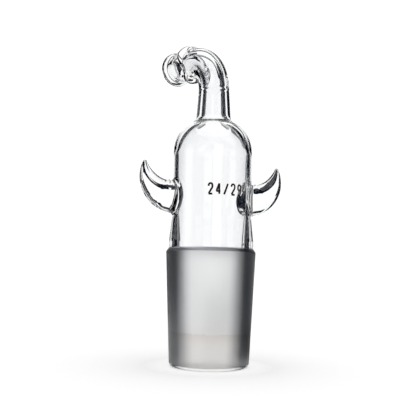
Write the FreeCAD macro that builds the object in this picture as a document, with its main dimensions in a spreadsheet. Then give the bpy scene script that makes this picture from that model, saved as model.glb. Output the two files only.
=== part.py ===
# Vacuum adapter: a ground cone, a short body with a dome, a bent hose nozzle and two spring hooks.
# It is blown and fused as one piece of clear borosilicate glass, so it is one solid.
# Millimetres and degrees. The origin is the centre of the cone's end, on which the adapter stands.
# +Z goes up the cone's axis, the hooks lie along Y and the nozzle leaves on the +X side.
import FreeCAD
import Part
import math
import os
import re
import Sketcher

NODE = "glass_adapter"

# Driving dimensions: name, size, what it is.
SIZES = [
    ("ground_dia", 24.0, "large diameter of the ground cone"),
    ("ground_length", 29.0, "length of the ground zone along the axis"),
    ("taper_run", 10.0, "length over which the cone's diameter drops by one"),
    ("end_round", 0.8, "fire polished outer edge below the ground zone"),
    ("end_bevel", 0.5, "inner edge of the end"),
    ("cone_wall", 1.8, "wall of the ground cone at its end"),
    ("shoulder_rise", 0.9, "height of the step from the cone to the tube"),
    ("root_tube_dia", 22.8, "tube just above the cone"),
    ("root_tube_length", 1.8, "straight stretch of that tube"),
    ("draw_length", 6.6, "stretch over which the tube draws in to the body"),
    ("body_dia", 21.4, "body"),
    ("body_wall", 1.2, "wall of the body under the dome"),
    ("dome_base", 57.0, "height at which the dome starts"),
    ("dome_radius", 9.2, "rounding of the dome, seen from the side"),
    ("vault_drop", 1.2, "how far below the dome's base the half ball inside it starts"),
    ("neck_dia", 9.4, "neck where it leaves the dome"),
    ("neck_bore", 5.2, "bore of the neck there"),
    ("neck_fillet", 2.4, "hollow outside, between the dome and the neck"),
    ("vault_fillet", 3.8, "rounding inside, between the dome and the bore"),
    ("neck_top", 73.9, "height at which the bend starts"),
    ("bend_dia", 8.5, "tube of the bend"),
    ("bend_bore", 4.6, "bore of the bend and the nozzle"),
    ("bend_radius", 11.2, "bend along the middle of its tube"),
    ("bend_angle", 84.0, "turn of the bend"),
    ("nozzle_turn", 18.0, "turn of the bend and the nozzle from +X towards +Y"),
    ("olive_at", 2.4, "middle of the first olive, from the end of the bend"),
    ("olive_dia", 11.1, "first olive"),
    ("olive_round", 2.0, "rounding of the first olive"),
    ("waist_dia", 8.6, "waist between the olives"),
    ("waist_round", 2.0, "hollows beside the waist"),
    ("lip_at", 11.2, "middle of the second olive, which ends the nozzle"),
    ("lip_dia", 10.1, "second olive"),
    ("lip_round", 1.3, "rounding of the second olive"),
    ("mouth_bevel", 0.5, "flare of the bore at the nozzle's mouth"),
    ("hook_height", 44.3, "height at which the hooks leave the body"),
    ("hook_start", 10.5, "distance from the axis at which a hook starts to curve"),
    ("hook_reach", 8.1, "how far the middle of a hook goes out from there"),
    ("hook_rise", 9.1, "how far it goes up"),
    ("hook_foot_depth", 1.7, "stretch of the hook's foot before its start"),
    ("hook_foot_dia", 9.8, "foot of the hook, fused into the body's wall"),
    ("hook_root_dia", 8.8, "hook at its start"),
    ("hook_palm_dia", 7.9, "hook a quarter of the way"),
    ("hook_knee_dia", 6.6, "hook at half way"),
    ("hook_back_dia", 4.8, "hook at two thirds of the way"),
    ("hook_finger_dia", 2.9, "hook below its tip"),
    ("hook_nail_dia", 1.8, "hook close to its tip"),
    ("hook_tip_dia", 1.0, "end of the tip"),
    ("swell_depth", 0.9, "how far the wall swells inwards behind a hook's foot"),
    ("swell_width", 8.6, "that swelling, across"),
    ("swell_length", 9.4, "that swelling, along the body"),
]

# Sizes that follow from the driving ones: name, formula.
DERIVED = [
    ("ground_small_dia", "ground_dia - ground_length / taper_run"),
    ("end_bore", "ground_small_dia - 2 * cone_wall"),
    ("cone_top", "end_round + ground_length"),
    ("shoulder_top", "cone_top + shoulder_rise"),
    ("draw_base", "shoulder_top + root_tube_length"),
    ("body_base", "draw_base + draw_length"),
    ("body_bore", "body_dia - 2 * body_wall"),
    # the dome's rounding meets the neck's hollow outside, and the bore's rounding inside
    ("dome_middle", "body_dia / 2 - dome_radius"),
    ("hollow_out", "neck_dia / 2 + neck_fillet"),
    ("hollow_up", "dome_base + sqrt((dome_radius + neck_fillet)^2 - (hollow_out - dome_middle)^2)"),
    ("hollow_share", "dome_radius / (dome_radius + neck_fillet)"),
    ("vault_base", "dome_base - vault_drop"),
    ("vault_radius", "body_bore / 2"),
    ("throat_out", "neck_bore / 2 + vault_fillet"),
    ("throat_up", "vault_base + sqrt((vault_radius + vault_fillet)^2 - throat_out^2)"),
    ("throat_share", "vault_radius / (vault_radius + vault_fillet)"),
    # the end of the bend, measured out from the axis and up
    ("bend_out", "bend_radius * (1 - cos(bend_angle))"),
    ("bend_up", "neck_top + bend_radius * sin(bend_angle)"),
    # the olives, measured along the nozzle and from its middle
    ("nozzle_length", "lip_at + lip_round"),
    ("olive_middle", "olive_dia / 2 - olive_round"),
    ("olive_foot", "olive_at - sqrt(olive_round^2 - (bend_dia / 2 - olive_middle)^2)"),
    ("olive_share", "olive_round / (olive_round + waist_round)"),
    ("lip_middle", "lip_dia / 2 - lip_round"),
    ("lip_share", "lip_round / (lip_round + waist_round)"),
    ("waist_middle", "waist_dia / 2 + waist_round"),
    ("waist_start", "olive_at + sqrt((olive_round + waist_round)^2 - (waist_middle - olive_middle)^2)"),
    ("waist_end", "lip_at - sqrt((lip_round + waist_round)^2 - (waist_middle - lip_middle)^2)"),
]

# Stations of a hook, which curves up like a quarter of an ellipse: degrees round it, diameter.
HOOK_STATIONS = [
    (0, "hook_root_dia"),
    (25, "hook_palm_dia"),
    (45, "hook_knee_dia"),
    (60, "hook_back_dia"),
    (75, "hook_finger_dia"),
    (84, "hook_nail_dia"),
    (90, "hook_tip_dia"),
]
HOOK_COUNT = 2

NAMES = [entry[0] for entry in SIZES + DERIVED]


def bound(formula):
    """The formula with each size taken from the sheet."""
    return re.sub("[a-z_]+", lambda m: "sizes." + m[0] if m[0] in NAMES else m[0], formula)


def fill_sheet(doc):
    sheet = doc.addObject("Spreadsheet::Sheet", "sizes")
    for row, (name, size, note) in enumerate(SIZES, start=1):
        sheet.set("A%d" % row, note)
        sheet.set("B%d" % row, str(size))
        sheet.setAlias("B%d" % row, name)
    for row, (name, formula) in enumerate(DERIVED, start=len(SIZES) + 1):
        sheet.set("B%d" % row, "=" + formula)
        sheet.setAlias("B%d" % row, name)
    doc.recompute()


def rotation(axis, angle):
    return "create(<<rotation>>; create(<<vector>>; %s); %s)" % (axis, bound(angle))


def placement(base, rotated):
    return "create(<<placement>>; create(<<vector>>; %s); %s)" % (bound(base), rotated)


UNTURNED = rotation("0; 0; 1", "0")
# In the upright plane a sketch's second axis points up, so turning about it swings the nozzle.
NOZZLE_PLANE = placement("0; 0; 0", rotation("0; 1; 0", "nozzle_turn"))
# The nozzle's own sketches start at the end of the bend, with their first axis along the bore.
AT_BEND_END = placement("bend_out; bend_up; 0", rotation("0; 0; 1", "90 - bend_angle"))
NOZZLE_FRAME = NOZZLE_PLANE + " * " + AT_BEND_END


def origin_part(body, role):
    return [datum for datum in body.Origin.OriginFeatures if datum.Role == role][0]


def attach(thing, body, plane, offset=None):
    thing.AttachmentSupport = [(origin_part(body, plane), "")]
    thing.MapMode = "FlatFace"
    if offset:
        thing.setExpression("AttachmentOffset", offset)


def new_sketch(body, name, plane, offset=None):
    sketch = body.newObject("Sketcher::SketchObject", name)
    attach(sketch, body, plane, offset)
    return sketch


def hold_size(sketch, constraint, formula):
    index = sketch.addConstraint(constraint)
    sketch.setExpression("Constraints[%d]" % index, bound(formula))


def hold_point(sketch, edge, end, point):
    """Holds one end of an edge at its distances from the sketch's origin; None leaves one free."""
    for kind, formula, axis in zip(("DistanceX", "DistanceY"), point, (-2, -1)):
        if formula is None:
            continue
        size = float(sketch.evalExpression(bound(formula)))
        if formula == "0":
            sketch.addConstraint(Sketcher.Constraint("PointOnObject", edge, end, axis))
        else:
            hold_size(sketch, Sketcher.Constraint(kind, -1, 1, edge, end, size), formula)


def trace(sketch, steps):
    """Closed profile that starts at the sketch's origin. A step is the end of a straight edge as
    two formulas, or the end of an arc followed by its middle and its radius, and True in a hollow."""

    def spot(point):
        return FreeCAD.Vector(*[float(sketch.evalExpression(bound(f))) for f in point], 0)

    here = ("0", "0")
    for end, *curve in steps:
        start, stop = spot(here), spot(end)
        if curve:
            middle, radius, *hollow = curve
            centre = spot(middle)
            first, last = (start, stop) if hollow else (stop, start)
            angles = [math.atan2(p.y - centre.y, p.x - centre.x) for p in (first, last)]
            circle = Part.Circle(centre, FreeCAD.Vector(0, 0, 1), (start - centre).Length)
            edge = sketch.addGeometry(Part.ArcOfCircle(circle, *angles), False)
            begins, ends = (1, 2) if hollow else (2, 1)
            hold_size(sketch, Sketcher.Constraint("Radius", edge, circle.Radius), radius)
        else:
            edge = sketch.addGeometry(Part.LineSegment(start, stop), False)
            begins, ends = 1, 2
        if here == ("0", "0"):
            first_edge = edge
            sketch.addConstraint(Sketcher.Constraint("Coincident", edge, begins, -1, 1))
        else:
            sketch.addConstraint(Sketcher.Constraint("Coincident", edge, begins, last_edge, last_end))
        if end == ("0", "0"):
            sketch.addConstraint(Sketcher.Constraint("Coincident", edge, ends, first_edge, 1))
        else:
            hold_point(sketch, edge, ends, end)
        last_edge, last_end, here = edge, ends, end


def circle_sketch(body, name, plane, offset, diameter):
    sketch = new_sketch(body, name, plane, offset)
    size = float(sketch.evalExpression(bound(diameter)))
    ring = Part.Circle(FreeCAD.Vector(0, 0, 0), FreeCAD.Vector(0, 0, 1), size / 2)
    edge = sketch.addGeometry(ring, False)
    sketch.addConstraint(Sketcher.Constraint("Coincident", edge, 3, -1, 1))
    hold_size(sketch, Sketcher.Constraint("Diameter", edge, size), diameter)
    return sketch


def turned(body, kind, name, sketch, axis):
    feature = body.newObject("PartDesign::" + kind, name)
    feature.Profile = sketch
    feature.ReferenceAxis = (sketch, [axis])
    feature.Angle = 360
    return feature


def repeated(body, name, feature):
    """Copies of a feature evenly round the cone's axis."""
    pattern = body.newObject("PartDesign::PolarPattern", name)
    pattern.Originals = [feature]
    pattern.Axis = (origin_part(body, "Z_Axis"), [""])
    pattern.Angle = 360
    pattern.Occurrences = HOOK_COUNT
    body.Tip = pattern


def outer_wall(body):
    """Cone, shoulder, body, dome and neck, turned about the cone's axis."""
    sketch = new_sketch(body, "wall_profile", "XZ_Plane")
    trace(sketch, [
        (("ground_small_dia / 2 - end_round", "0"),),
        (("ground_small_dia / 2", "end_round"),
         ("ground_small_dia / 2 - end_round", "end_round"), "end_round", True),
        (("ground_dia / 2", "cone_top"),),
        (("root_tube_dia / 2", "shoulder_top"),),
        (("root_tube_dia / 2", "draw_base"),),
        (("body_dia / 2", "body_base"),),
        (("body_dia / 2", "dome_base"),),
        (("dome_middle + (hollow_out - dome_middle) * hollow_share",
          "dome_base + (hollow_up - dome_base) * hollow_share"),
         ("dome_middle", "dome_base"), "dome_radius", True),
        (("neck_dia / 2", "hollow_up"), ("hollow_out", "hollow_up"), "neck_fillet"),
        (("bend_dia / 2", "neck_top"),),
        (("0", "neck_top"),),
        (("0", "0"),),
    ])
    turned(body, "Revolution", "wall", sketch, "V_Axis")


def inner_space(body):
    """The hollow inside the cone, the body, the dome and the neck."""
    sketch = new_sketch(body, "bore_profile", "XZ_Plane")
    trace(sketch, [
        (("end_bore / 2 + end_bevel", "0"),),
        (("end_bore / 2", "end_bevel"),),
        (("vault_radius", "vault_base"),),
        (("throat_out * throat_share", "vault_base + (throat_up - vault_base) * throat_share"),
         ("0", "vault_base"), "vault_radius", True),
        (("neck_bore / 2", "throat_up"), ("throat_out", "throat_up"), "vault_fillet"),
        (("bend_bore / 2", "neck_top"),),
        (("0", "neck_top"),),
        (("0", "0"),),
    ])
    turned(body, "Groove", "bore", sketch, "V_Axis")


def bend(body, kind, name, diameter):
    """A tube or a bore that follows the bend from the top of the neck."""
    path = new_sketch(body, name + "_path", "XZ_Plane", NOZZLE_PLANE)
    radius = float(path.evalExpression(bound("bend_radius")))
    base = float(path.evalExpression(bound("neck_top")))
    angle = float(path.evalExpression(bound("bend_angle")))
    circle = Part.Circle(FreeCAD.Vector(radius, base, 0), FreeCAD.Vector(0, 0, 1), radius)
    arc = Part.ArcOfCircle(circle, math.radians(180 - angle), math.pi)
    edge = path.addGeometry(arc, False)
    hold_size(path, Sketcher.Constraint("Radius", edge, radius), "bend_radius")
    hold_point(path, edge, 3, ("bend_radius", "neck_top"))
    hold_point(path, edge, 1, ("bend_out", None))
    hold_point(path, edge, 2, (None, "neck_top"))
    at = placement("0; 0; neck_top", UNTURNED)
    feature = body.newObject("PartDesign::" + kind, name)
    feature.Profile = circle_sketch(body, name + "_section", "XY_Plane", at, diameter)
    feature.Spine = (path, ["Edge1"])
    return feature


def nozzle_wall(body):
    """Two olives that a hose is pushed over, at the end of the bend."""
    sketch = new_sketch(body, "nozzle_profile", "XZ_Plane", NOZZLE_FRAME)
    trace(sketch, [
        (("0", "bend_dia / 2"),),
        (("olive_foot", "bend_dia / 2"),),
        (("olive_at + (waist_start - olive_at) * olive_share",
          "olive_middle + (waist_middle - olive_middle) * olive_share"),
         ("olive_at", "olive_middle"), "olive_round"),
        (("waist_start", "waist_dia / 2"), ("waist_start", "waist_middle"), "waist_round", True),
        (("waist_end", "waist_dia / 2"),),
        (("lip_at + (waist_end - lip_at) * lip_share",
          "lip_middle + (waist_middle - lip_middle) * lip_share"),
         ("waist_end", "waist_middle"), "waist_round", True),
        (("nozzle_length", "lip_middle"), ("lip_at", "lip_middle"), "lip_round"),
        (("nozzle_length", "0"),),
        (("0", "0"),),
    ])
    turned(body, "Revolution", "nozzle", sketch, "H_Axis")


def nozzle_bore(body):
    sketch = new_sketch(body, "nozzle_bore_profile", "XZ_Plane", NOZZLE_FRAME)
    trace(sketch, [
        (("0", "bend_bore / 2"),),
        (("nozzle_length - mouth_bevel", "bend_bore / 2"),),
        (("nozzle_length", "bend_bore / 2 + mouth_bevel"),),
        (("nozzle_length", "0"),),
        (("0", "0"),),
    ])
    turned(body, "Groove", "nozzle_bore", sketch, "H_Axis")


def hook_section(body, name, out, up, tilt, diameter):
    """Round section of a hook, tilted from the vertical as the hook curves up."""
    at = placement("0; %s; %s" % (out, up), rotation("1; 0; 0", tilt))
    return circle_sketch(body, name, "XY_Plane", at, diameter)


def hooks(body):
    """A horn on the +Y side that thins to its tip, and its copy on the other side."""
    sections = [hook_section(body, "hook_foot", "hook_start - hook_foot_depth", "hook_height",
                             "-90", "hook_foot_dia")]
    for number, (angle, diameter) in enumerate(HOOK_STATIONS):
        out = "hook_start + hook_reach * sin(%d)" % angle
        up = "hook_height + hook_rise * (1 - cos(%d))" % angle
        tilt = "atan2(hook_rise * sin(%d); hook_reach * cos(%d)) - 90 deg" % (angle, angle)
        sections.append(hook_section(body, "hook_section_%d" % number, out, up, tilt, diameter))
    horn = body.newObject("PartDesign::AdditiveLoft", "hook")
    horn.Profile = sections[0]
    horn.Sections = sections[1:]
    repeated(body, "hook_pair", horn)


def swellings(body):
    """Low mounds on the bore's wall, where the feet of the hooks were melted in."""
    mound = body.newObject("PartDesign::AdditiveEllipsoid", "swelling")
    attach(mound, body, "XY_Plane", placement("0; body_bore / 2; hook_height", UNTURNED))
    mound.setExpression("Radius1", bound("swell_length / 2"))
    mound.setExpression("Radius2", bound("swell_width / 2"))
    mound.setExpression("Radius3", bound("swell_depth"))
    repeated(body, "swelling_pair", mound)


def build(doc):
    fill_sheet(doc)
    body = doc.addObject("PartDesign::Body", NODE)
    body.Label = NODE
    outer_wall(body)
    bend(body, "AdditivePipe", "bend", "bend_dia")
    nozzle_wall(body)
    hooks(body)
    inner_space(body)
    bend(body, "SubtractivePipe", "bend_bore", "bend_bore")
    nozzle_bore(body)
    swellings(body)
    doc.recompute()
    return body


def check(doc, body):
    for thing in doc.Objects:
        if "Invalid" in thing.State or "Error" in thing.State:
            raise RuntimeError("%s is %s" % (thing.Name, thing.State))
    shape = body.Shape
    if shape.isNull() or not shape.isValid() or len(shape.Solids) != 1:
        raise RuntimeError("%s isn't one valid solid" % body.Label)


document = FreeCAD.newDocument("vacuum_adapter")
adapter = build(document)
check(document, adapter)
os.makedirs("parts", exist_ok=True)
adapter.Shape.exportStep("parts/%s.step" % NODE)
box = adapter.Shape.BoundBox
print("%s %.1f x %.1f x %.1f mm" % (NODE, box.XLength, box.YLength, box.ZLength))
print("volume %.0f mm3" % adapter.Shape.Volume)
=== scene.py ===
# Vacuum adapter of clear laboratory glass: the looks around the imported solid.
import math

import bmesh
import bpy
from mathutils import Matrix, Quaternion, Vector


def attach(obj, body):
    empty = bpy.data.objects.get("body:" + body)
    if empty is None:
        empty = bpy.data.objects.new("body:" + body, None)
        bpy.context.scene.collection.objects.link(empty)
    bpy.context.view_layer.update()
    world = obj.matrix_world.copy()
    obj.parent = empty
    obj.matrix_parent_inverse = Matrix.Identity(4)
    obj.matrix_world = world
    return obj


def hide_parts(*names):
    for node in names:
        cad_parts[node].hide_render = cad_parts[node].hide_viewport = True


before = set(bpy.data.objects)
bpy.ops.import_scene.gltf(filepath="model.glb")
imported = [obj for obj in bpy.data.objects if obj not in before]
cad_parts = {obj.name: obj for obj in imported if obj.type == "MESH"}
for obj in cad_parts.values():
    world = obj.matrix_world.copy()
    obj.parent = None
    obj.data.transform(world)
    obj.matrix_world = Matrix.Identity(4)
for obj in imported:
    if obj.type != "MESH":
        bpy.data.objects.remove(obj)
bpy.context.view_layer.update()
mm = 0.001
print("frame loaded")


# Shader maths: a wrapped socket, so that masks read as plain sums
class Signal:
    def __init__(self, tree, socket):
        self.tree, self.socket = tree, socket

    def maths(self, operation, *values):
        return Painter(self.tree).add("ShaderNodeMath", {"operation": operation}, *values)

    def __add__(self, other):
        return self.maths("ADD", self, other)

    def __radd__(self, other):
        return self.maths("ADD", other, self)

    def __sub__(self, other):
        return self.maths("SUBTRACT", self, other)

    def __rsub__(self, other):
        return self.maths("SUBTRACT", other, self)

    def __mul__(self, other):
        return self.maths("MULTIPLY", self, other)

    def __rmul__(self, other):
        return self.maths("MULTIPLY", other, self)

    def __gt__(self, other):
        return self.maths("GREATER_THAN", self, other)

    def __lt__(self, other):
        return self.maths("LESS_THAN", self, other)


class Painter:
    def __init__(self, tree):
        self.tree = tree

    def add(self, kind, settings=None, *values, output=0, **named):
        node = self.tree.nodes.new(kind)
        for name, value in (settings or {}).items():
            if name == "stops":
                for number, (place, colour) in enumerate(value):
                    ramp = node.color_ramp.elements
                    stop = ramp[number] if number < 2 else ramp.new(place)
                    stop.position, stop.color = place, (*colour, 1)
            else:
                setattr(node, name, value)
        for key, value in list(enumerate(values)) + list(named.items()):
            key = int(key) if str(key).isdigit() else key.replace("_", " ")
            socket = node.inputs[key]
            if isinstance(value, Signal):
                self.tree.links.new(value.socket, socket)
            elif value is not None:
                socket.default_value = value
        return Signal(self.tree, node.outputs[output]) if node.outputs else None


def newMaterial(name):
    material = bpy.data.materials.new(name)
    material.use_nodes = True
    material.node_tree.nodes.clear()
    return material, Painter(material.node_tree)


def showShader(paint, shader):
    paint.add("ShaderNodeOutputMaterial", None, shader)


def tinted(paint, colour, tint, share):
    return paint.add("ShaderNodeMix", {"data_type": "RGBA", "blend_type": "MULTIPLY"}, share, output=2,
                     **{"6": colour, "7": tint})


# Clear borosilicate glass, a little wavy from the flame
clearGlass = {
    "tint": (0.985, 0.99, 0.995, 1),
    "bend": 1.47,
    "waveSize": 190.0, "waveDetail": 1.0, "waveDepth": 0.00002, "waveStrength": 0.6,
}

# Ground zone of the cone: it scatters, and its colour holds painted shade, darker where it is seen at a
# slant
groundGlass = {
    "paintedSlantShade": [(0.0, (0.93, 0.93, 0.93)), (0.1, (0.89, 0.89, 0.893)), (0.22, (0.41, 0.415, 0.43)),
               (0.38, (0.12, 0.13, 0.145)), (0.6, (0.105, 0.115, 0.125)), (0.95, (0.16, 0.165, 0.17))],
    "bend": 1.47,
    "haze": 0.36, "hazeChange": 0.06, "patchSize": 260.0, "patchDetail": 2.0,
    "grainSize": 2600.0, "grainDetail": 2.0, "grainDepth": 0.00004, "grainStrength": 0.5,
    # Warmer low zone: where its edge lies and how far it wanders, in millimetres
    "lowTint": (0.91, 0.885, 0.855, 1), "lowEdge": 9.2, "lowWander": 1.6,
    "wanderSize": 140.0, "wanderDetail": 5.0, "wanderRoughness": 0.7,
    # How fast the zone sets in below its edge, and how fast the smudge along the edge fades, per metre
    "lowRate": 3000.0, "smudgeTint": (0.76, 0.71, 0.66, 1), "smudgeRate": 400.0,
    # Painted shade: a dark slate ring on the step above the cone
    "paintedRimShade": (0.42, 0.45, 0.49, 1),
}


def paintClearGlass():
    glass = clearGlass
    material, paint = newMaterial("clearGlass")
    place = paint.add("ShaderNodeTexCoord", output="Object")
    wave = paint.add("ShaderNodeTexNoise", None, Vector=place, Scale=glass["waveSize"],
                     Detail=glass["waveDetail"])
    bump = paint.add("ShaderNodeBump", None, Height=wave, Distance=glass["waveDepth"],
                     Strength=glass["waveStrength"])
    shader = paint.add("ShaderNodeBsdfPrincipled", None, Base_Color=glass["tint"], Roughness=0.0,
                       IOR=glass["bend"], Transmission_Weight=1.0, Normal=bump)
    showShader(paint, shader)
    return material


def paintGroundGlass():
    glass = groundGlass
    material, paint = newMaterial("groundGlass")
    place = paint.add("ShaderNodeTexCoord", output="Object")
    height = paint.add("ShaderNodeSeparateXYZ", None, place, output="Z")
    patches = paint.add("ShaderNodeTexNoise", None, Vector=place, Scale=glass["patchSize"],
                        Detail=glass["patchDetail"])
    grain = paint.add("ShaderNodeTexNoise", None, Vector=place, Scale=glass["grainSize"],
                      Detail=glass["grainDetail"])
    bump = paint.add("ShaderNodeBump", None, Height=grain, Distance=glass["grainDepth"],
                     Strength=glass["grainStrength"])
    # Painted shade: the base colour darkens where the surface is seen at a slant
    slant = paint.add("ShaderNodeLayerWeight", None, 0.5, output="Facing")
    paintedShading = paint.add("ShaderNodeValToRGB", {"stops": glass["paintedSlantShade"]}, slant)
    wander = paint.add("ShaderNodeTexNoise", None, Vector=place, Scale=glass["wanderSize"],
                       Detail=glass["wanderDetail"], Roughness=glass["wanderRoughness"])
    below = ((glass["lowEdge"] - glass["lowWander"] / 2) * mm - height) + wander * (glass["lowWander"] * mm)
    low = paint.add("ShaderNodeMath", {"operation": "MULTIPLY", "use_clamp": True}, below,
                    glass["lowRate"])
    fade = paint.add("ShaderNodeMath", {"operation": "SUBTRACT", "use_clamp": True}, 1.0,
                     below * glass["smudgeRate"])
    # Painted shade: the step above the cone is tinted dark slate
    rim = height > wall["coneTop"][1] * mm
    colour = tinted(paint, paintedShading, glass["lowTint"], low)
    colour = tinted(paint, colour, glass["smudgeTint"], low * fade * wander)
    colour = tinted(paint, colour, glass["paintedRimShade"], rim)
    shader = paint.add("ShaderNodeBsdfPrincipled", None, Base_Color=colour,
                       Roughness=glass["haze"] + patches * glass["hazeChange"], IOR=glass["bend"],
                       Transmission_Weight=1.0, Normal=bump)
    showShader(paint, shader)
    return material


# Adapter's wall, in millimetres: radii and heights along the middle line, which bends at the neck's top
wall = {
    "coneEnd": 10.55, "endRound": 0.8, "endBevel": 0.5, "coneTop": (12.0, 29.8), "coneWall": 1.8,
    "shoulder": (11.4, 30.7), "drawBase": (11.4, 32.5), "bodyBase": (10.7, 39.1), "bodyWall": 1.2,
    "rounds": [0.25, 0.5, 3.0, 8.0], "boreRound": 0.3, "groundGap": 0.1,
    "domeBase": 57.0, "domeMiddle": 1.5, "domeRadius": 9.2, "vaultBase": 55.8,
    "neck": 4.7, "neckHollow": 2.4, "neckBore": 2.6, "vaultRound": 3.8, "neckTop": 73.9,
    "tube": 4.25, "bore": 2.3, "bendRadius": 11.2, "bendAngle": 84.0, "turn": 18.0,
    "oliveAt": 2.4, "olive": 5.55, "oliveRound": 2.0, "waist": 4.3, "waistRound": 2.0,
    "lipAt": 11.2, "lip": 5.05, "lipRound": 1.3, "mouthBevel": 0.5, "mouthRound": 0.5,
    # Faces round it, and the mesh's steps along it: millimetres on straights, degrees on arcs
    "segments": 128, "stemStep": 0.4, "footStep": 0.2, "endStep": 12, "domeStep": 2.5,
}
bendLength = math.radians(wall["bendAngle"]) * wall["bendRadius"]
nozzleStart = wall["neckTop"] + bendLength


def straight(start, end, step=0.6):
    start, end = Vector(start), Vector(end)
    count = max(1, round((end - start).length / step))
    return [start.lerp(end, number / count) for number in range(1, count + 1)]


def arc(middle, start, end, step=5.0):
    middle, start, end = Vector(middle), Vector(start), Vector(end)
    first, last = start - middle, end - middle
    turn = -first.angle_signed(last)
    count = max(2, math.ceil(abs(math.degrees(turn)) / step))
    return [middle + Matrix.Rotation(turn * number / count, 2) @ first for number in range(1, count + 1)]


def corner(before, at, after, radius, step=10.0):
    before, at, after = Vector(before), Vector(at), Vector(after)
    one, two = (before - at).normalized(), (after - at).normalized()
    half = one.angle(two) / 2
    start, end = at + one * radius / math.tan(half), at + two * radius / math.tan(half)
    middle = at + (one + two).normalized() * radius / math.sin(half)
    return start, [start] + arc(middle, start, end, step)


def profileThrough(points, radii, step=0.6):
    line = [Vector(points[0])]
    for before, at, after, radius in zip(points, points[1:], points[2:], radii):
        start, curve = corner(before, at, after, radius)
        line += straight(line[-1], start, step) + curve[1:]
    return line + straight(line[-1], points[-1], step)


def outerProfile():
    w = wall
    end, stem = w["coneEnd"], w["stemStep"]
    line = [Vector((end - w["endRound"], 0))]
    line += arc((end - w["endRound"], w["endRound"]), line[-1], (end, w["endRound"]), w["endStep"])
    line += profileThrough([line[-1], w["coneTop"], w["shoulder"], w["drawBase"], w["bodyBase"],
                            (w["bodyBase"][0], w["domeBase"])], w["rounds"])[1:]
    hollow = Vector((w["neck"] + w["neckHollow"], 0))
    reach = w["domeRadius"] + w["neckHollow"]
    hollow.y = w["domeBase"] + math.sqrt(reach ** 2 - (hollow.x - w["domeMiddle"]) ** 2)
    dome = Vector((w["domeMiddle"], w["domeBase"]))
    meet = dome.lerp(hollow, w["domeRadius"] / reach)
    line += arc(dome, line[-1], meet, w["domeStep"])
    line += arc(hollow, line[-1], (w["neck"], hollow.y))
    line += straight(line[-1], (w["tube"], w["neckTop"]), stem)
    line += straight(line[-1], (w["tube"], nozzleStart), stem)
    oliveMiddle, lipMiddle = w["olive"] - w["oliveRound"], w["lip"] - w["lipRound"]
    waistMiddle = w["waist"] + w["waistRound"]
    olive = Vector((oliveMiddle, nozzleStart + w["oliveAt"]))
    lip = Vector((lipMiddle, nozzleStart + w["lipAt"]))
    foot = olive.y - math.sqrt(w["oliveRound"] ** 2 - (w["tube"] - oliveMiddle) ** 2)
    far, near = w["oliveRound"] + w["waistRound"], w["lipRound"] + w["waistRound"]
    first = Vector((waistMiddle, olive.y + math.sqrt(far ** 2 - (waistMiddle - oliveMiddle) ** 2)))
    last = Vector((waistMiddle, lip.y - math.sqrt(near ** 2 - (waistMiddle - lipMiddle) ** 2)))
    line += straight(line[-1], (w["tube"], foot), w["footStep"])
    line += arc(olive, line[-1], olive.lerp(first, w["oliveRound"] / far))
    line += arc(first, line[-1], (w["waist"], first.y))
    line += straight(line[-1], (w["waist"], last.y))
    line += arc(last, line[-1], lip.lerp(last, w["lipRound"] / near))
    return line + arc(lip, line[-1], (lipMiddle, lip.y + w["lipRound"]))


def innerProfile():
    w = wall
    end, stem = nozzleStart + w["lipAt"] + w["lipRound"], w["stemStep"]
    line = profileThrough([(w["bore"] + w["mouthBevel"], end), (w["bore"], end - w["mouthBevel"]),
                           (w["bore"], nozzleStart)], [w["mouthRound"]], stem)
    line += straight(line[-1], (w["bore"], w["neckTop"]), stem)
    vault, radius = Vector((0, w["vaultBase"])), w["bodyBase"][0] - w["bodyWall"]
    throat = Vector((w["neckBore"] + w["vaultRound"], 0))
    reach = radius + w["vaultRound"]
    throat.y = w["vaultBase"] + math.sqrt(reach ** 2 - throat.x ** 2)
    line += straight(line[-1], (w["neckBore"], throat.y), stem)
    line += arc(throat, line[-1], vault.lerp(throat, radius / reach))
    line += arc(vault, line[-1], (radius, w["vaultBase"]), w["domeStep"])
    endBore = w["coneEnd"] - w["coneWall"]
    return line + profileThrough([line[-1], (endBore, w["endBevel"]), (endBore + w["endBevel"], 0)],
                                 [w["boreRound"]])[1:]


# Place and direction of the middle line, so many millimetres along it
def stemFrame(along):
    swing = Matrix.Rotation(math.radians(wall["turn"]), 4, "Z")
    up = min(along, wall["neckTop"])
    angle = min(max(along - wall["neckTop"], 0), bendLength) / wall["bendRadius"]
    centre = Matrix.Translation((wall["bendRadius"] * mm, 0, up * mm))
    out = Matrix.Translation((-wall["bendRadius"] * mm, 0, max(along - nozzleStart, 0) * mm))
    return swing @ centre @ Matrix.Rotation(angle, 4, "Y") @ out


def turnWall(bm):
    verts = [bm.verts.new((point.x * mm, 0, point.y * mm)) for point in outerProfile() + innerProfile()]
    edges = [bm.edges.new(pair) for pair in zip(verts, verts[1:] + verts[:1])]
    bmesh.ops.spin(bm, geom=verts + edges, cent=(0, 0, 0), axis=(0, 0, 1), angle=math.tau,
                   steps=wall["segments"], use_merge=True)


def bendStem(bm):
    for vert in bm.verts:
        along = vert.co.z / mm
        if along > wall["neckTop"]:
            vert.co = stemFrame(along) @ Vector((vert.co.x, vert.co.y, 0))


# Spring hooks, drawn out of the body's wall: millimetres, and degrees round the curve
hook = {
    "height": 44.3, "start": 10.5, "reach": 8.1, "rise": 9.1, "root": 4.4, "tip": 0.5, "taper": 1.7,
    "foot": 5.35, "fillet": 1.0, "blend": 3.0, "tipTurn": 17, "tipHeight": 0.8,
    "swell": 0.9, "swellWidth": 4.3, "swellHeight": 4.7,
    # Faces of the wall that make way for a foot: degrees to each side, millimetres up and down
    "patch": (36.6, 6.4), "skin": 0.3,
    "wallRings": 6, "filletRings": 9, "blendRings": 8, "step": 2.5, "tipRings": 5,
}


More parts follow.
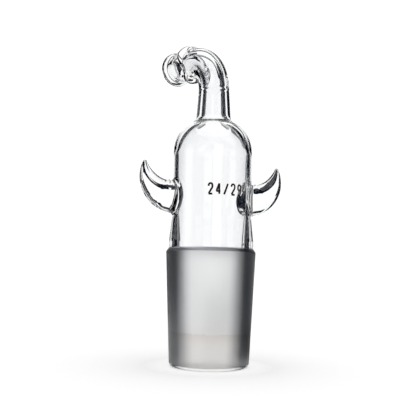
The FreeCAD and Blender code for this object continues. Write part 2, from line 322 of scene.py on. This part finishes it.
def wallRadius(height, outline):
    for low, high in zip(outline, outline[1:]):
        if low.y <= height <= high.y and low.y < high.y:
            return low.x + (high.x - low.x) * (height - low.y) / (high.y - low.y)
    return wall["bodyBase"][0]


def hookRadius(angle):
    return hook["tip"] + (hook["root"] - hook["tip"]) * (1 - (angle / 90) ** hook["taper"])


def hookPoint(angle, turn, radius=None):
    radius = hookRadius(angle) if radius is None else radius
    a = math.radians(angle)
    middle = Vector((0, hook["start"] + hook["reach"] * math.sin(a),
                     hook["height"] + hook["rise"] * (1 - math.cos(a))))
    along = Vector((0, hook["reach"] * math.cos(a), hook["rise"] * math.sin(a))).normalized()
    out = math.cos(turn) * Vector((1, 0, 0)) + math.sin(turn) * Vector((0, -along.z, along.y))
    return middle + radius * out


def footPoint(outline, turn, radius, lift, rise=0.0):
    across, up = radius * math.cos(turn), hook["height"] + rise + radius * math.sin(turn)
    return Vector((across, math.sqrt(wallRadius(up, outline) ** 2 - across ** 2) + lift, up))


# Rings of one hook, from the hole in the wall to the tip: each gives the point at a turn round the horn
def hookRings(outline, start):
    foot, fillet, body = hook["foot"], hook["fillet"], wall["bodyBase"][0]
    for step in range(1, hook["wallRings"] + 1):
        share = step / hook["wallRings"]
        yield lambda turn, s=share: footPoint(outline, turn, start[turn] + (foot - start[turn]) * s, 0)
    for step in range(1, hook["filletRings"] + 1):
        a = math.radians(step * 90 / hook["filletRings"])
        inwards, lift = fillet * math.sin(a), fillet * (1 - math.cos(a))
        yield lambda turn, f=(inwards, lift): footPoint(outline, turn, foot - f[0], f[1])
    for step in range(1, hook["blendRings"] + 1):
        share = step / hook["blendRings"]
        lift = fillet + (hook["blend"] - fillet) * share
        angle = math.degrees(math.asin((body + lift - hook["start"]) / hook["reach"]))
        rise = hook["rise"] * (1 - math.cos(math.radians(angle)))
        radius = (foot - fillet) * (1 - share) + hookRadius(angle) * share
        smooth = share * share * (3 - 2 * share)
        yield lambda turn, f=(angle, rise, radius, lift, smooth): footPoint(
            outline, turn, f[2], f[3], f[1]).lerp(hookPoint(f[0], turn, f[2]), f[4])
    while angle < 90:
        angle = min(angle + hook["step"], 90)
        yield lambda turn, a=angle: hookPoint(a, turn)
    for step in range(1, hook["tipRings"] + 1):
        a = math.radians(step * hook["tipTurn"])
        radius, cap = hook["tip"] * math.cos(a), hook["tip"] * hook["tipHeight"] * math.sin(a)
        yield lambda turn, f=(radius, cap): hookPoint(90, turn, f[0]) + Vector((0, 0, f[1]))


def drawHook(bm, outline, turned):
    width, height = hook["patch"]
    back = turned.inverted()
    patch = []
    for face in bm.faces:
        place = (back @ face.calc_center_median()) / mm
        if (abs(place.z - hook["height"]) < height and place.y > 0
                and place.xy.length > wall["bodyBase"][0] - hook["skin"]
                and abs(math.degrees(math.atan2(place.x, place.y))) < width):
            patch.append(face)
    # Lists keep their order, so the mesh comes out the same in each run
    inside = set(patch)
    rim = [edge for face in patch for edge in face.edges if not inside.issuperset(edge.link_faces)]
    horn = bmesh.new()
    turns, start, copies = horn.verts.layers.float.new("turn"), {}, {}
    for vert in dict.fromkeys(vert for edge in rim for vert in edge.verts):
        place = (back @ vert.co) / mm
        copy = copies[vert] = horn.verts.new(vert.co)
        copy[turns] = math.atan2(place.z - hook["height"], place.x)
        start[copy[turns]] = math.hypot(place.z - hook["height"], place.x)
    edges = [horn.edges.new([copies[vert] for vert in edge.verts]) for edge in rim]
    bmesh.ops.delete(bm, geom=patch, context="FACES")
    for ring in hookRings(outline, start):
        made = bmesh.ops.extrude_edge_only(horn, edges=edges)["geom"]
        verts = {part for part in made if isinstance(part, bmesh.types.BMVert)}
        for vert in verts:
            vert.co = turned @ (ring(vert[turns]) * mm)
        edges = [part for part in made
                 if isinstance(part, bmesh.types.BMEdge) and verts.issuperset(part.verts)]
    bmesh.ops.contextual_create(horn, geom=edges)
    mesh = bpy.data.meshes.new("horn")
    horn.to_mesh(mesh)
    horn.free()
    bm.from_mesh(mesh)
    bpy.data.meshes.remove(mesh)


# The wall swells inwards behind each hook's foot
def swellWall(bm):
    bore = wall["bodyBase"][0] - wall["bodyWall"]
    for vert in bm.verts:
        place = vert.co / mm
        if place.xy.length < bore + hook["skin"]:
            across, up = place.x / hook["swellWidth"], (place.z - hook["height"]) / hook["swellHeight"]
            depth = hook["swell"] * (1 - (across ** 2 + up ** 2)) - (bore - place.xy.length)
            if depth > 0:
                vert.co.xy -= place.xy.normalized() * depth * mm


def makeAdapter(materials):
    bm = bmesh.new()
    turnWall(bm)
    outline = outerProfile()
    for angle in (0, 180):
        drawHook(bm, outline, Matrix.Rotation(math.radians(angle), 4, "Z"))
    bmesh.ops.remove_doubles(bm, verts=bm.verts, dist=0.001 * mm)
    swellWall(bm)
    bmesh.ops.recalc_face_normals(bm, faces=bm.faces)
    groundTop = wall["shoulder"][1] - wall["groundGap"]
    for face in bm.faces:
        centre = face.calc_center_median() / mm
        outwards = face.normal.xy.dot(centre.xy) > 0
        face.material_index = int(outwards and wall["endRound"] < centre.z < groundTop)
        face.smooth = True
    bendStem(bm)
    mesh = bpy.data.meshes.new("glass")
    bm.to_mesh(mesh)
    bm.free()
    for material in materials:
        mesh.materials.append(material)
    adapter = bpy.data.objects.new("glass", mesh)
    bpy.context.scene.collection.objects.link(adapter)
    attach(adapter, "root")
    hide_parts("glass_adapter")
    print("glass drawn:", len(mesh.polygons), "faces")


makeAdapter([paintClearGlass(), paintGroundGlass()])


# Size mark, printed round the body: millimetres, degrees, and strokes in a box one wide and one high
mark = {
    "text": "24/29", "middle": 45.6, "first": 162.8, "pitch": 10.8, "high": 2.7, "wide": 1.0,
    "pen": 0.25, "penStep": 0.2, "penCorners": 2, "lift": 0.004, "thick": 0.012,
    "ink": (0.02, 0.004, 0.005, 1), "gloss": 0.2, "dullness": 0.5, "speckle": 0.2, "speckleSize": 3000.0,
}
digits = {
    "2": [[(0, 0.74), (0.05, 0.88), (0.22, 0.98), (0.5, 1), (0.78, 0.98), (0.95, 0.88), (1, 0.76),
           (0.94, 0.6), (0.05, 0.03)],
          [(0, 0), (1, 0)]],
    "4": [[(0.74, 0), (0.74, 1)], [(0.72, 1), (0, 0.28)], [(-0.05, 0.27), (1.05, 0.27)]],
    "/": [[(0, -0.02), (1, 1)]],
    "9": [[(0.98, 0.7), (0.9, 0.88), (0.7, 0.98), (0.5, 1), (0.3, 0.98), (0.1, 0.88), (0, 0.7),
           (0.1, 0.54), (0.3, 0.46), (0.5, 0.44), (0.7, 0.46), (0.9, 0.54), (0.98, 0.7)],
          [(0.98, 0.72), (0.94, 0.4), (0.8, 0.14), (0.55, 0.01), (0.3, 0), (0.08, 0.08)]],
}


def paintInk():
    material, paint = newMaterial("printedInk")
    place = paint.add("ShaderNodeTexCoord", output="Object")
    speckle = paint.add("ShaderNodeTexNoise", None, Vector=place, Scale=mark["speckleSize"], Detail=2.0)
    shader = paint.add("ShaderNodeBsdfPrincipled", None, Base_Color=mark["ink"],
                       Roughness=mark["dullness"] + speckle * mark["speckle"],
                       Specular_IOR_Level=mark["gloss"])
    showShader(paint, shader)
    return material


def printMark(material):
    body = wall["bodyBase"][0]
    curve = bpy.data.curves.new("penStrokes", "CURVE")
    curve.dimensions, curve.use_fill_caps = "3D", True
    curve.bevel_depth, curve.bevel_resolution = mark["pen"], mark["penCorners"]
    pitch = math.radians(mark["pitch"]) * body
    for number, sign in enumerate(mark["text"]):
        for stroke in digits[sign]:
            places = [Vector((number * pitch + (across - 0.5) * mark["wide"],
                              (up - 0.5) * mark["high"], 0, 1)) for across, up in stroke]
            places = places[:1] + [place for pair in zip(places, places[1:])
                                   for place in straight(*pair, mark["penStep"])]
            line = curve.splines.new("POLY")
            line.points.add(len(places) - 1)
            for point, place in zip(line.points, places):
                point.co = place
    pen = bpy.data.objects.new("penStrokes", curve)
    bpy.context.scene.collection.objects.link(pen)
    bpy.context.view_layer.update()
    mesh = bpy.data.meshes.new_from_object(pen.evaluated_get(bpy.context.evaluated_depsgraph_get()))
    bpy.data.objects.remove(pen)
    # The flat strokes are pressed thin and wrapped round the body
    for vert in mesh.vertices:
        angle = math.radians(mark["first"]) + vert.co.x / body
        out = body + mark["lift"] + vert.co.z / mark["pen"] * mark["thick"]
        vert.co = Vector((math.cos(angle) * out, math.sin(angle) * out, mark["middle"] + vert.co.y)) * mm
    mesh.name = "size_mark"
    mesh.materials.clear()
    mesh.materials.append(material)
    ink = bpy.data.objects.new("size_mark", mesh)
    bpy.context.scene.collection.objects.link(ink)
    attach(ink, "root")
    print("mark printed")


printMark(paintInk())


# Camera at the photograph's place: millimetres and degrees, and metres for what it clips
view = {
    "distance": 160.6, "height": 24.42, "side": 255.0, "heading": -14.64, "pitch": 6.148, "roll": 1.157,
    "lens": 51.62, "near": 0.01, "far": 20,
}


def placeCamera():
    camera = bpy.data.objects.new("camera", bpy.data.cameras.new("camera"))
    bpy.context.scene.collection.objects.link(camera)
    side, heading, pitch = (math.radians(view[name]) for name in ("side", "heading", "pitch"))
    camera.location = Vector((math.sin(side) * view["distance"], -math.cos(side) * view["distance"],
                              view["height"])) * mm
    look = Vector((math.cos(heading) * math.cos(pitch), math.sin(heading) * math.cos(pitch),
                   math.sin(pitch)))
    roll = Quaternion((0, 0, 1), math.radians(view["roll"]))
    camera.rotation_mode = "QUATERNION"
    camera.rotation_quaternion = look.to_track_quat("-Z", "Y") @ roll
    camera.data.lens = view["lens"]
    camera.data.clip_start, camera.data.clip_end = view["near"], view["far"]
    bpy.context.scene.camera = camera


placeCamera()
print("camera placed")


# Studio: white all round, a pale floor with a painted pool of light round the middle, where glass would let
# light through to it
studio = {
    "whiteness": 1.1,
    "floorRadius": 0.35, "floorSides": 96, "floorColour": (0.86, 0.86, 0.86, 1), "floorGlow": 0.12,
    "paintedPoolGlow": 0.4, "paintedPoolReach": (0.009, 0.017),
    "cardColour": (0.006, 0.008, 0.014, 1), "cardRows": 6, "cardColumns": 24, "sheetLift": 0.0004,
}

# Dark cards that only the glass shows: degrees round the adapter, degrees up from it, metres away
cards = {
    "right": {"round": (193, 311), "up": (-12, 60), "away": 0.6},
    "rightFoot": {"round": (311, 313), "up": (-12, 1.5), "away": 0.6},
    "rightBack": {"round": (311, 319), "up": (1.5, 32), "away": 3.0},
    "rightLow": {"round": (319, 322.5), "up": (-12, 19.5), "away": 0.6},
    "rightHigh": {"round": (319, 323), "up": (27, 43.3), "away": 0.6},
    "rightTop": {"round": (323, 330), "up": (31.5, 43.3), "away": 0.6},
    "leftFoot": {"round": (8, 11), "up": (-12, 2), "away": 0.6},
    "leftLow": {"round": (11, 17), "up": (-12, 19.5), "away": 0.6},
    "left": {"round": (17, 77), "up": (-12, 60), "away": 0.6},
    "leftTop": {"round": (77, 103), "up": (21.5, 60), "away": 0.6},
    "corner": {"round": (103, 167), "up": (-4, 60), "away": 0.6},
    "frontTop": {"round": (167, 193), "up": (21.5, 60), "away": 0.6},
    "overhead": {"round": (320, 363), "up": (43.3, 55), "away": 0.43},
}
# Dark sheets on the floor, which only the glass shows too: degrees round, metres from the middle
sheets = {
    "behind": {"round": (331, 349), "from": 0.1, "to": 0.35},
    "behindLeft": {"round": (349, 353), "from": 0.11, "to": 0.2},
    "behindRight": {"round": (319, 331), "from": 0.1, "to": 0.2},
    "rightBand": {"round": (319, 321), "from": 0.2, "to": 0.35},
    "rightward": {"round": (225, 313), "from": 0.02, "to": 0.35},
    "front": {"round": (150, 200), "from": 0.02, "to": 0.13},
    "leftward": {"round": (60, 120), "from": 0.02, "to": 0.13},
    "farLeft": {"round": (6, 75), "from": 0.13, "to": 0.35},
}


def lightWorld():
    world = bpy.data.worlds.new("surroundings")
    world.use_nodes = True
    world.node_tree.nodes.clear()
    paint = Painter(world.node_tree)
    light = paint.add("ShaderNodeBackground", None, Color=(1, 1, 1, 1), Strength=studio["whiteness"])
    paint.add("ShaderNodeOutputWorld", None, light)
    bpy.context.scene.world = world


def layFloor():
    bm = bmesh.new()
    bmesh.ops.create_circle(bm, cap_ends=True, segments=studio["floorSides"], radius=studio["floorRadius"])
    mesh = bpy.data.meshes.new("floor")
    bm.to_mesh(mesh)
    bm.free()
    material, paint = newMaterial("paleFloor")
    diffuse = paint.add("ShaderNodeBsdfDiffuse", None, Color=studio["floorColour"])
    place = paint.add("ShaderNodeTexCoord", output="Object")
    away = paint.add("ShaderNodeVectorMath", {"operation": "LENGTH"}, place, output="Value")
    # Painted light: the floor glows brighter close round the middle, under the adapter
    near, far = studio["paintedPoolReach"]
    paintedShading = paint.add("ShaderNodeMapRange", None, Value=away, From_Min=near, From_Max=far,
                       To_Min=studio["paintedPoolGlow"], To_Max=studio["floorGlow"])
    glow = paint.add("ShaderNodeEmission", None, Color=paintedShading, Strength=1.0)
    showShader(paint, paint.add("ShaderNodeAddShader", None, diffuse, glow))
    mesh.materials.append(material)
    floor = bpy.data.objects.new("floor", mesh)
    bpy.context.scene.collection.objects.link(floor)


def setCard(name, points, span, material):
    bm = bmesh.new()
    turned = Matrix.Rotation(math.radians(span[0]), 3, "Z")
    verts = [bm.verts.new(turned @ Vector(point)) for point in points]
    edges = [bm.edges.new(pair) for pair in zip(verts, verts[1:])]
    bmesh.ops.spin(bm, geom=verts + edges, cent=(0, 0, 0), axis=(0, 0, 1), steps=studio["cardColumns"],
                   angle=math.radians(span[1] - span[0]))
    mesh = bpy.data.meshes.new("card_" + name)
    bm.to_mesh(mesh)
    bm.free()
    mesh.materials.append(material)
    board = bpy.data.objects.new("card_" + name, mesh)
    bpy.context.scene.collection.objects.link(board)
    board.visible_camera = board.visible_diffuse = board.visible_shadow = False


def setCards():
    material, paint = newMaterial("darkCard")
    showShader(paint, paint.add("ShaderNodeEmission", None, Color=studio["cardColour"], Strength=1.0))
    rows, lift = studio["cardRows"], studio["sheetLift"]
    for name, card in cards.items():
        low, high = card["up"]
        ups = [math.radians(low + (high - low) * row / rows) for row in range(rows + 1)]
        points = [(math.cos(up) * card["away"], 0, math.sin(up) * card["away"]) for up in ups]
        setCard(name, points, card["round"], material)
    for name, sheet in sheets.items():
        setCard(name, [(sheet["from"], 0, lift), (sheet["to"], 0, lift)], sheet["round"], material)


lightWorld()
layFloor()
setCards()
print("studio set")

bpy.context.scene.view_settings.view_transform = "Standard"
